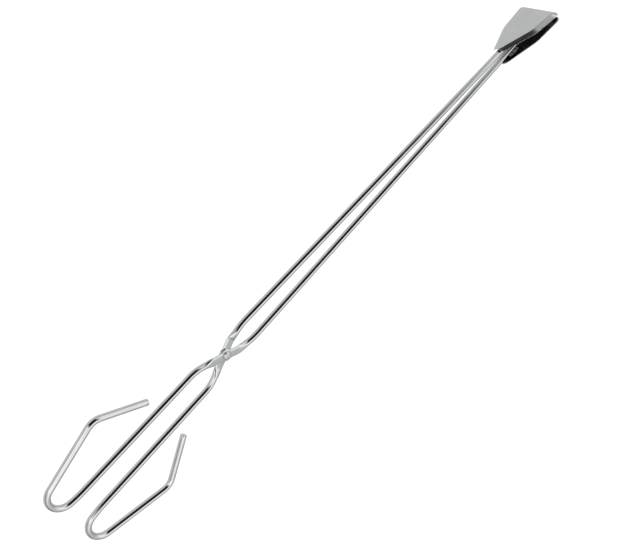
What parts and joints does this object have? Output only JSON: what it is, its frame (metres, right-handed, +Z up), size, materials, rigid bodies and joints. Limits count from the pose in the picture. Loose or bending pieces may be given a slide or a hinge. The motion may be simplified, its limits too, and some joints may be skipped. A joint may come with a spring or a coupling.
{
  "type": "crucible tongs",
  "caption": "Long steel hand tongs: crossed rods on a rivet, open finger loops at one end, dished jaw plates at the other.",
  "frame": {"origin": "centre of the bounding box's footprint, at its lowest level", "axes": "+X from the finger loops to the jaws along the tool, +Y towards the upper arm's loop, +Z up the rivet's axis towards its domed head"},
  "size_m": [0.682, 0.1256, 0.0496],
  "materials": {
    "rod": "bright chrome plate on round steel bar",
    "rivet": "bright chrome plate, domed head",
    "jaw_sheet": "chrome plate on pressed sheet, slightly softer than the rods, dark and unpolished inside",
    "weld": "rough plated weld bead"
  },
  "bodies": {
    "upper_arm_body": {"upper_arm": "rod", "pivot_rivet": "rivet", "upper_jaw_plate": "jaw_sheet", "upper_jaw_weld_a": "weld", "upper_jaw_weld_b": "weld", "upper_jaw_weld_end": "weld"},
    "lower_arm_body": {"lower_arm": "rod", "lower_jaw_plate": "jaw_sheet", "lower_jaw_weld_a": "weld", "lower_jaw_weld_b": "weld", "lower_jaw_weld_end": "weld"}
  },
  "joints": [
    {"name": "pivot", "type": "hinge", "parent": "upper_arm_body", "child": "lower_arm_body", "pos_m": [-0.14204, 0, 0.0248], "axis": [0, 0, 1], "range_deg": [0, 90]}
  ]
}
